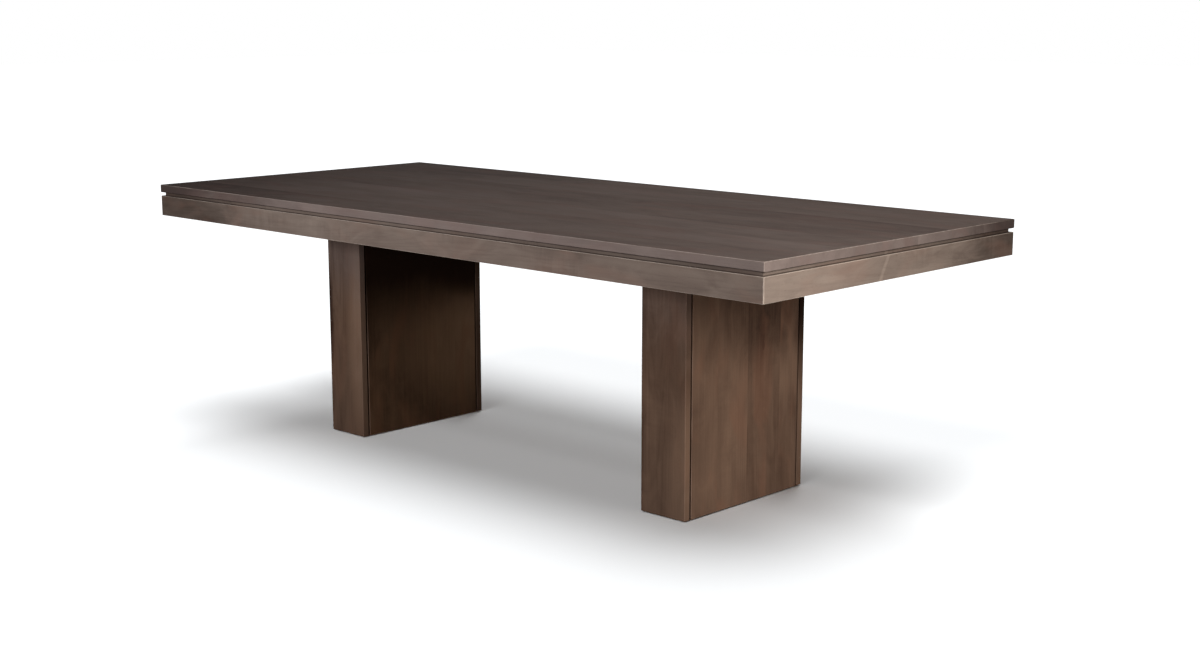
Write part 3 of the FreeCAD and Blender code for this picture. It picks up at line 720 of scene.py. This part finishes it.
# Each board is drawn lying along x at the front and turned to its own side
def makeAprons(look, boards):
    for name, board in boards.items():
        node = f"{name}_apron"
        low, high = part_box(node)
        turn = math.radians(board["turn"])
        along = np.array([round(math.cos(turn)), round(math.sin(turn)), 0])
        inwards = np.array([-along[1], along[0], 0])
        size = np.array(high - low)
        half = abs(along @ size) / 2
        middle = middleOf(node)
        outer = np.array([middle.x, middle.y, 0]) - inwards * look["thick"] / 2
        grid, arris = mitredGrid(apronCorners(low.z, high.z, look), half, board["seed"])
        material = stainedMaple(
            f"maple apron {name}", board["grain"], middle, "apron", tone=board["tone"], seed=board["seed"],
            pith=board["pith"], figure=look["figure"], blotch=look["blotch"], flame=board.get("flame"),
            patches=board.get("patches", ()),
        )
        piece = makePiece(f"{name}Apron", onAxes(grid, along, inwards, (0, 0, 1), outer), arris, material)
        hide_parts(node)


makeAprons(apronLook, apronBoards)
print("aprons made")

# The pedestals: a narrow board at the front and the back, and a wide panel with a rabbet at each side
pedestalLook = {
    "round": 1.5 * mm,
    "thick": 20 * mm,
    "seamWide": 6 * mm,
    "seamDeep": 5 * mm,
    "leftStain": -0.55,  # how dark the painted shade on the narrow boards' left arrises is
    "narrowWood": {"pith": (0.07, 0.03), "across": 2, "wear": 0.35, "warmth": 0.2},
}
# a greyer cast towards the tops of the front boards, and a browner one over the left inner panel
greyer = (0.89, 1.05, 1.32)
browner = (1.05, 0.99, 0.84)
# on the pedestals the patches are painted light and shade, except the small dark knot on right_outer, and the
# shades are painted shadow under the table
pedestalBoards = {
    "left_front": {
        "tone": -0.03, "cast": (0.0, 0.26, 1.0, greyer),
        "patches": (
            (-0.05, -0.07, 0.36, 0.07, 0.38), (0.0, 0.09, 0.22, 0.04, -0.65), (0.26, 0.085, 0.13, 0.03, 0.3),
        ),
    },
    "left_back": {"tone": 0.0, "shade": (0.0, 0.2, 0.8)},
    "right_front": {
        "tone": -0.04, "cast": (0.02, 0.3, 0.6, greyer),
        "patches": (
            (-0.3, -0.08, 0.3, 0.09, 0.25), (0.0, 0.09, 1.0, 0.035, -0.25), (0.05, -0.02, 0.13, 0.1, -0.11),
        ),
    },
    "right_back": {"tone": 0.02, "shade": (-0.12, 0.15, 1.0)},
}
pedestalPanels = {
    "left_outer": {"tone": 0.0, "staves": ((-0.132, 3.1, 0.06), (0.0, -5.3, -0.08), (0.12, 7.9, 0.05))},
    "left_inner": {
        "tone": -0.05, "staves": ((-0.14, 4.3, 0.05), (0.018, -6.1, -0.03), (0.135, 9.4, 0.04)),
        "shade": (-0.07, 0.15, 1.0), "cast": (-1.0, -0.8, 1.0, browner),
        "patches": (
            (-0.1, 0.15, 0.26, 0.26, 0.35), (0.0, -0.25, 0.2, 0.1, -0.3), (0.12, 0.23, 0.1, 0.2, -0.8),
            (-0.08, 0.26, 0.12, 0.09, 0.5), (-0.32, -0.08, 0.2, 0.3, -0.12),
        ),
    },
    "right_outer": {
        "tone": 0.0, "staves": ((-0.118, 3.7, 0.05), (0.005, -5.9, -0.16), (0.143, 8.3, 0.08)),
        "patches": (
            (0.066, 0.07, 13 * mm, 6 * mm, -0.3), (0.17, 0.06, 0.2, 0.2, -0.25), (0.2, -0.24, 0.3, 0.08, 0.2),
            (0.0, 0.17, 0.1, 0.06, 0.12), (0.08, 0.25, 0.1, 0.06, -0.25), (-0.24, 0.2, 0.2, 0.14, -0.12),
        ),
    },
    "right_inner": {"tone": 0.03, "staves": ((-0.125, 5.1, -0.05), (0.02, -4.7, 0.07), (0.14, 6.7, -0.04))},
}


# A narrow board, carried upwards: a rectangle with four rounded corners, the two on its left with painted
# shade
def makeNarrowBoard(look, side, end, wood):
    node = f"{side}_pedestal_{end}_board"
    low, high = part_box(node)
    r, dark = look["round"], look["leftStain"]
    # painted shade on the two left arrises
    corners = [
        (low.x, low.y, r, True, dark), (high.x, low.y, r, True),
        (high.x, high.y, r, True), (low.x, high.y, r, True, dark),
    ]
    seed = 41.0 + 2.3 * len(f"{side}_{end}") + low.x * 3 + low.y * 7
    grid, arris = boardGrid(corners, low.z, high.z, 1, 0, seed)
    material = stainedMaple(
        f"maple {side} pedestal {end} board", "z", middleOf(node), "pedestal",
        seed=seed, **look["narrowWood"], **wood,
    )
    grid = onAxes(grid, (0, 0, 1), (1, 0, 0), (0, 1, 0))
    piece = makePiece(f"{side}Pedestal{end.title()}Board", grid, arris, material)
    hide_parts(node)


# A wide panel, carried upwards: across is the table's y from its middle, and up is out through its face. The
# face's edges are rounded down into a rabbet at each side, whose corners get painted shade.
def makePanel(look, side, face, wood):
    node = f"{side}_pedestal_{face}_panel"
    low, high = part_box(node)
    half = (high.y - low.y) / 2
    thick, deep, wide, r = look["thick"], look["seamDeep"], look["seamWide"], look["round"]
    corners = [
        (-half, -thick, 0, False), (half, -thick, 0, False), (half, -deep, 0, False, -1),
        (half - wide, -deep, 0, False, -1), (half - wide, -deep / 2, 0, False),
        (half - wide, 0, r, True), (wide - half, 0, r, False), (wide - half, -deep / 2, 0, False),
        (wide - half, -deep, 0, False, -1), (-half, -deep, 0, False, -1),
    ]
    seed = 61.0 + 3.1 * len(f"{side}_{face}") + low.x * 4
    grid, arris = boardGrid(corners, low.z, high.z, 1, 0, seed)
    outward = 1 if (face == "outer") == (side == "right") else -1
    faceX = high.x if outward > 0 else low.x
    grid = onAxes(grid, (0, 0, 1), (0, 1, 0), (outward, 0, 0), (faceX, 0, 0))
    material = stainedMaple(
        f"maple {side} pedestal {face} panel", "z", middleOf(node), "pedestal",
        seed=seed, pith=(0.02, 0.08 * outward), **wood,
    )
    piece = makePiece(f"{side}Pedestal{face.title()}Panel", grid, arris, material)
    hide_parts(node)


for side in ("left", "right"):
    for end in ("front", "back"):
        makeNarrowBoard(pedestalLook, side, end, pedestalBoards[f"{side}_{end}"])
    for face in ("outer", "inner"):
        makePanel(pedestalLook, side, face, pedestalPanels[f"{side}_{face}"])
print("pedestals made")


sealedLook = {
    "tones": ((0.0, "9a7048"), (0.5, "c9a478"), (1.0, "dcc09a")),
    "streak": 0.7,
    "blotch": 0.4,
    "fibre": 0.3,
    "rough": 0.55,
    "specular": 0.3,
}


# Sealed, unstained wood of the battens, plates and blocks: the tone is 0.5 and three noises, each less its
# mean and times its share
def sealedMaple(name, grain, centre, seed, look):
    material, graph = newMaterial(name)
    grown = graph.vector("ADD", boardSpace(graph, grain, centre), (seed * 1.3, seed * 0.7, seed * 0.4))
    streak = graph.noise(grown, (1.6, 110, 110), 3.0, 0.6)
    fibre = graph.noise(grown, *woodNoise["fibre"])
    blotch = graph.noise(grown, (5, 22, 22), 2.0)
    value = 0.5 + (streak - 0.5) * look["streak"]
    value = value + (blotch - 0.5) * look["blotch"] + (fibre - 0.5) * look["fibre"]
    graph.surface(fibre * 0.6 + streak * 0.4, 0.4, 0.15 * mm, {
        "Base Color": graph.ramp(value, *look["tones"]),
        "Roughness": look["rough"] + (fibre - 0.5) * 0.2,
        "Specular IOR Level": look["specular"],
    })
    return material


sealedNodes = {  # by the axis that their grain runs along
    "y": [
        "left_end_batten", "centre_batten", "right_end_batten", "left_mounting_plate", "right_mounting_plate",
    ],
    "z": ["left_pedestal_corner_strips", "right_pedestal_corner_strips"],
    "x": [
        f"corner_block_{end}_{side}" for end in ("front", "back") for side in ("left", "right")
    ] + [f"{side}_pedestal_{level}_block" for side in ("left", "right") for level in ("top", "bottom")],
}
for grain, names in sealedNodes.items():
    for number, name in enumerate(names):
        title, seed = f"sealed {name.replace('_', ' ')}", 5.0 + number * 2.1
        nodes[name].data.materials[0] = sealedMaple(title, grain, middleOf(name), seed, sealedLook)


steelLook = {
    "tones": ((0.3, "85857f"), (0.5, "9e9e99"), (0.7, "b0b0a9")),
    "worn": "c9c9c4",
    "creaseShade": "4a4a47",
    "rough": 0.4,
}
nylonLook = {
    "tones": ((0.25, "090909"), (0.5, "0d0d0d"), (0.75, "151514")),
    "scuffed": "3a3a38",
    "rough": 0.55,
    "specular": 0.4,
}


# Zinc-plated steel: the tone is 0.6 of a cloud noise, 0.25 of fine grit and 0.15 of long scratches
def platedSteel(name, seed, look):
    material, graph = newMaterial(name)
    place = graph.node("ShaderNodeTexCoord", output="Object")
    moved = graph.vector("ADD", place, (seed * 0.7, seed * 0.3, seed * 0.9))
    cloud = graph.noise(moved, (90, 90, 90), 3.0, 0.6)
    grit = graph.noise(moved, (2400, 2400, 2400), 1.0)
    scratch = graph.noise(moved, (350, 350, 3800), 2.0, 0.6)
    colour = graph.ramp(cloud * 0.6 + grit * 0.25 + scratch * 0.15, *look["tones"])
    # the arrises are drawn lighter as wear and painted highlight, and the creases darker as painted shade
    arris, creaseShade = graph.arrisAndCrease()
    colour = graph.blend(arris * 0.5, colour, rgba(look["worn"]))
    graph.surface(grit + scratch * 0.6, 0.3, 0.03 * mm, {
        "Base Color": graph.blend(creaseShade * 0.7, colour, rgba(look["creaseShade"])),
        "Metallic": 1.0,
        "Roughness": look["rough"] + (cloud - 0.5) * 0.25 + (scratch - 0.5) * 0.12,
    })
    return material


# Moulded black nylon: the tone is 0.7 of a cloud noise and 0.3 of a fine grain. Its rims are scuffed paler
# by their arris mark times a noise.
def blackNylon(name, look):
    material, graph = newMaterial(name)
    place = graph.node("ShaderNodeTexCoord", output="Object")
    grain = graph.noise(place, (3200, 3200, 3200), 2.0, 0.6)
    cloud = graph.noise(place, (60, 60, 60), 2.0)
    arris, _ = graph.arrisAndCrease()
    scuff = arris * graph.noise(place, (420, 420, 420), 2.0).step(0.45, 0.7)
    colour = graph.ramp(cloud * 0.7 + grain * 0.3, *look["tones"])
    graph.surface(grain, 0.4, 0.04 * mm, {
        "Base Color": graph.blend(scuff * 0.5, colour, rgba(look["scuffed"])),
        "Roughness": look["rough"] + (grain - 0.5) * 0.2 + scuff * 0.15,
        "Specular IOR Level": look["specular"],
    })
    return material


steelNodes = ["apron_clips", "plate_bolt_washers", "plate_screws", "t_nuts", "threaded_inserts"]
for number, name in enumerate(steelNodes):
    nodes[name].data.materials[0] = platedSteel(f"zinc {name.replace('_', ' ')}", 1.0 + number, steelLook)
print("sealed wood and plated steel finished")


# So many directions round an axis
def circle(count):
    return np.linspace(0, 2 * math.pi, count, endpoint=False)


# A shape round an axis from rows of (radius, height, mark): each row is a ring, and its radius may be one
# number or one for each direction. In the steel, a mark below 0 is painted shade.
def ringGrid(rows, around):
    radii = np.array([row[0] + 0 * around for row in rows])
    heights, marks = (np.array([row[k] for row in rows], float)[:, None] + 0 * radii for k in (1, 2))
    return np.stack([radii * np.cos(around), radii * np.sin(around), heights], -1), marks


# How far the side of a regular shape lies from its middle in each direction: across / 2 over the cosine of
# the angle from the middle of that side
def sidesReach(across, sides, around, turn=0.0):
    part = 2 * math.pi / sides
    return across / 2 / np.cos((around - turn) % part - part / 2)


# How far a ring's points are from the middle of a thread's wave, from 0 to 0.5. The wave repeats once in
# each pitch and moves on by one pitch in each turn.
def threadOff(z, pitch, around):
    return np.abs((z / pitch - around / (2 * math.pi)) % 1.0 - 0.5)


# Levelling feet: a moulded pad with a gripped rim, and a threaded stud with a hexagon
footLook = {
    "padRadius": 15 * mm,
    "padHigh": 7 * mm,
    "padRound": 1.5 * mm,
    "padSteps": 192,  # points round the pad
    "sole": ((0.3, 0.5), (4, 0.5), (4.6, 0.1), (5, 0), (10, 0)),  # radius and height in mm
    "rim": (2.2, 2.9, 3.5, 4.1, 4.8),  # heights in mm
    "crown": ((12, 0.05, 0), (8.4, 0.6, 0), (7.6, 0.6, 0), (7, 0.1, 0.6), (6.6, 0, 0.2), (4.6, 0, 0.3)),
    "ribs": 24,
    "ribDeep": 0.45 * mm,
    "socketRadius": 4.1 * mm,
    "socketFloor": 3 * mm,
    "studSteps": 36,
    "studRadius": 4 * mm,
    "studHigh": 50 * mm,
    "chamfer": 1 * mm,
    "pitch": 1.25 * mm,
    "threadDeep": 0.72 * mm,
    "runOut": 1.5 * mm,  # over which the thread comes to its full depth
    "hexAcross": 13 * mm,
    "hexLow": 7 * mm,
    "hexHigh": 12.3 * mm,
    "studRough": 0.36,
}
tip = 0.2 * mm  # the radius at which a shape round an axis is closed


# The pad's profile goes from the middle of its sole, out round two rounded edges, and in over its crown
# (radius, depth below the top, mark) to the stud's socket. Round the rim the radius dips by a rounded wave,
# most at half height.
def padGrid(look):
    r, high, bend = look["padRadius"], look["padHigh"], look["padRound"]
    socket, floor = look["socketRadius"], look["socketFloor"]
    turns = np.linspace(0, math.pi / 2, 7)[1:]
    rows = [(x * mm, z * mm, 0) for x, z in look["sole"]] + [(r - bend, 0, 0)]
    rows += [(r - bend * (1 - math.sin(t)), bend * (1 - math.cos(t)), math.sin(2 * t)) for t in turns]
    rows += [(r, z * mm, 0) for z in look["rim"]]
    rows += [
        (r - bend * (1 - math.cos(t)), high - bend * (1 - math.sin(t)), math.sin(2 * t)) for t in turns - 0.1
    ]
    rows += [(x * mm, high - z * mm, mark) for x, z, mark in look["crown"]]
    rows += [(socket, high - 0.4 * mm, 0), (socket, floor, -1), (1.5 * tip, floor, -1)]
    around = circle(look["padSteps"])
    grid, arris = ringGrid(rows, around)
    radius, height = np.linalg.norm(grid[..., :2], axis=-1), grid[..., 2]
    halfway = np.sin(math.pi * np.clip(height / high, 0, 1)) ** 0.5
    share = np.clip((radius - 0.8 * r) / (0.2 * r), 0, 1) * halfway
    dip = look["ribDeep"] * share * (0.5 - 0.5 * np.cos(around * look["ribs"])) ** 2
    grid[..., :2] *= (1 - dip / np.maximum(radius, 1 * mm))[..., None]
    return grid, arris


# The stud's end in the pad, the hexagon with its corners turned off in a cone at each end, then the thread,
# whose radius is the stud's less the thread's depth times (1 - wave)
def studGrid(look):
    around = circle(look["studSteps"])
    r, pitch, top, chamfer = look["studRadius"], look["pitch"], look["studHigh"], look["chamfer"]
    low, high, across, floor = look["hexLow"], look["hexHigh"], look["hexAcross"], look["socketFloor"]
    rows = [(tip, floor, 0), (r - 0.1 * mm, floor, 0), (r, low, -1)]
    cones = [
        (np.minimum(sidesReach(across, 6, around), across / 2 - tip + lift * mm * 1.7), lift * mm, mark)
        for lift, mark in ((0.0, 0.0), (0.35, 0.5), (1.0, 0.5))
    ]
    rows += [(reach, low + lift, mark) for reach, lift, mark in cones]
    rows += [(reach, high - lift, mark) for reach, lift, mark in reversed(cones)]
    rows += [(0.85 * r, high, -1)]
    for z in np.arange(high + 0.4 * mm, top, pitch / 8):
        wave = np.clip(threadOff(z, pitch, around) * 2.6 - 0.3, 0, 1)
        deep = look["threadDeep"] * min(1.0, (z - high) / look["runOut"])
        end = max(0.0, z - (top - chamfer))
        rows.append((r - deep * (1 - wave) - end * wave * 0.9, z, 0))
    rows += [(r - chamfer, top, 0.3), (tip, top, 0)]
    return ringGrid(rows, around)


# The same pad and stud, moved to each foot's middle
def makeFeet(look):
    nylon = blackNylon("black nylon", nylonLook)
    steel = platedSteel("zinc stud", 7.0, {**steelLook, "rough": look["studRough"]})
    parts = (
        ("pad", *padGrid(look), nylon, "foot_nylon"), ("stud", *studGrid(look), steel, "zinc_steel")
    )
    for side, end, face in product(("left", "right"), ("front", "back"), ("outer", "inner")):
        foot = f"{side}_{end}_{face}_foot"
        place = middleOf(f"{foot}_pad")
        for part, grid, arris, material, slot in parts:
            name = side + end.title() + face.title() + part.title()
            piece = makePiece(name, grid + np.array([place.x, place.y, 0]), arris, material, foot)
            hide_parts(f"{foot}_{part}")


makeFeet(footLook)
print("feet made")


# Screws and bolts, many in one piece. Each is drawn with its seat on z = 0, its head below and its shank up.
# Along a screw's thread the radius is the shank's times the taper times (0.72 + 0.28 * ridge), and the taper
# is 1 up to three radii from the point.
def shankRows(radius, length, grip, pitch, around):
    rows = []
    for z in np.arange(grip, length, pitch / 4):
        ridge = np.clip(1 - threadOff(z, pitch, around) * 3.2, 0, 1)
        taper = np.clip((length - z) / (3 * radius), 0.12, 1)
        rows.append((radius * taper * (0.72 + 0.28 * ridge), z, 0))
    return rows


# A screw with a square socket in its head: the socket's floor and walls, the head, then the shank
def screwGrid(look):
    around = circle(32)
    head, high, radius, length = look["headRadius"], look["headHigh"], look["radius"], look["length"]
    square = np.minimum(sidesReach(look["square"], 4, around, math.pi / 4), look["square"] * 0.66)
    rows = [(0.1 * square, -0.25 * high, -1), (0.94 * square, -0.25 * high, -1)]
    rows += [(square, -0.97 * high, 0.4), (square + 0.25 * mm, -high, 0.6)]
    rows += [(head * across, high * up, mark) for across, up, mark in look["head"]]
    rows += [(head, 0, 0), (radius, 0, 0), (radius * 0.98, look["grip"] * 0.5, 0)]
    rows += shankRows(radius, length, look["grip"], look["pitch"], around)
    return ringGrid(rows + [(tip / 4, length, 0)], around)


# A hexagon bolt: a chamfered head with a turned face under it, then a plain shank
def boltGrid(look):
    around = circle(36)
    across, high, radius, length = look["across"], look["headHigh"], look["radius"], look["length"]
    hexagon = sidesReach(across, 6, around)
    face, hollow, under = across / 2 * look["face"], look["hollow"], look["under"]
    rows = [(tip, hollow - high, -0.3), (face * 0.75, hollow - high, 0)]
    rows += [(face * 0.85, -high, 0.4), (face, -high, 0.3)]
    rows += [(np.minimum(hexagon, face + 0.75 * mm), -high + 0.45 * mm, 0.5), (hexagon, -high + 1 * mm, 0.3)]
    rows += [(hexagon, -2 * under, 0.2), (np.minimum(hexagon, face + 0.4 * mm), -under, -0.4)]
    rows += [(face, -under, 0), (face, 0, -0.5), (radius, 0, 0)]
    rows += [(radius, length - 1 * mm, 0), (radius - 0.8 * mm, length, 0), (tip, length, 0)]
    return ringGrid(rows, around)


# A head's profile from its socket out: radius and height as shares of the head's, and the mark, below 0 for
# painted shade
panHead = ((0.8, -0.94, 0), (0.95, -0.72, 0.2), (1, -0.45, 0.7))
washerHead = ((0.55, -1, 0.3), (0.66, -0.5, -0.5), (0.95, -0.36, 0.2), (1, -0.25, 0.7))
smallScrew = {
    "kind": screwGrid, "headRadius": 3.8 * mm, "headHigh": 2.4 * mm, "radius": 2 * mm, "square": 2.9 * mm,
    "head": panHead, "pitch": 1.8 * mm,
}
fasteners = {
    "batten_screws": {
        "kind": screwGrid, "count": 21, "headRadius": 7 * mm, "headHigh": 3 * mm, "radius": 2.4 * mm,
        "square": 3.4 * mm, "head": washerHead, "grip": 20 * mm, "length": 43 * mm, "pitch": 2.2 * mm,
    },
    "clip_screws": {**smallScrew, "count": 18, "grip": 2 * mm, "length": 14.6 * mm},
    "corner_block_screws": {**smallScrew, "count": 8, "grip": 14 * mm, "length": 27 * mm},
    "plate_bolts": {
        "kind": boltGrid, "count": 12, "headHigh": 5.3 * mm, "radius": 4 * mm, "across": 13 * mm,
        "length": 42.6 * mm, "face": 0.95,  # the turned faces' share of across
        "hollow": 0.25 * mm,  # in the head's middle
        "under": 0.3 * mm,  # the height of the turned face under the head
    },
}


# The middle and size of each of so many like solids in a CAD node, whose vertices follow one another
def solidBoxes(node, count):
    mesh = nodes[node].data
    points = np.empty(len(mesh.vertices) * 3)
    mesh.vertices.foreach_get("co", points)
    solids = points.reshape(count, -1, 3)
    return (solids.min(1) + solids.max(1)) / 2, solids.max(1) - solids.min(1)


sharpAngle = 34  # degrees, above which two faces of a fastener meet in a hard edge
fastenerRough = 0.38


# Many closed grids of one shape in one piece, as quads between the rings and a fan of triangles at each end
def makeCopies(name, grids, arris, material):
    rows, columns = arris.shape
    quads = gridFaces(rows, columns, True)
    first = np.arange(columns)
    last = first + (rows - 1) * columns
    fans = np.concatenate([
        np.stack([0 * e[2:] + e[0], e[1:-1], e[2:]], -1) for e in (first[::-1], last)
    ])
    points = grids.reshape(-1, 3)
    size = rows * columns
    if signedVolume(points[:size], np.concatenate([quads, np.pad(fans, ((0, 0), (0, 1)), "edge")])) < 0:
        quads, fans = quads[:, ::-1], fans[:, ::-1]
    shift = np.arange(len(grids))[:, None, None] * size
    allQuads, allFans = (quads + shift).reshape(-1, 4), (fans + shift).reshape(-1, 3)
    smooth = np.append(np.ones(len(allQuads), bool), np.zeros(len(allFans), bool))
    marks = np.tile(arris.reshape(-1), len(grids))
    piece = addPiece(name, points, allQuads.tolist() + allFans.tolist(), smooth, marks, material, "table")
    piece.data.set_sharp_from_angle(angle=math.radians(sharpAngle))
    return piece


# A fastener lies along its solid's longest side. Upright ones have their heads below, the others point away
# from the table's middle.
def makeFasteners(name, look):
    grid, arris = look["kind"](look)
    middles, spans = solidBoxes(name, look["count"])
    placed = []
    for middle, span in zip(middles, spans):
        long = int(np.argmax(span))
        way = 1 if long == 2 else np.sign(middle[long])
        axes = np.zeros((3, 3))
        axes[2, long] = way
        axes[0, (long + 1) % 3], axes[1, (long + 2) % 3] = 1, way
        seat = middle.copy()
        seat[long] -= way * (span[long] / 2 - look["headHigh"])
        placed.append(grid @ axes + seat)
    words = name.split("_")
    piece = makeCopies(
        words[0] + "".join(word.title() for word in words[1:]), np.array(placed), arris,
        platedSteel(f"zinc {' '.join(words)}", 11.0 + look["count"], {**steelLook, "rough": fastenerRough}),
    )
    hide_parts(name)


for name, look in fasteners.items():
    makeFasteners(name, look)
print("fasteners made")
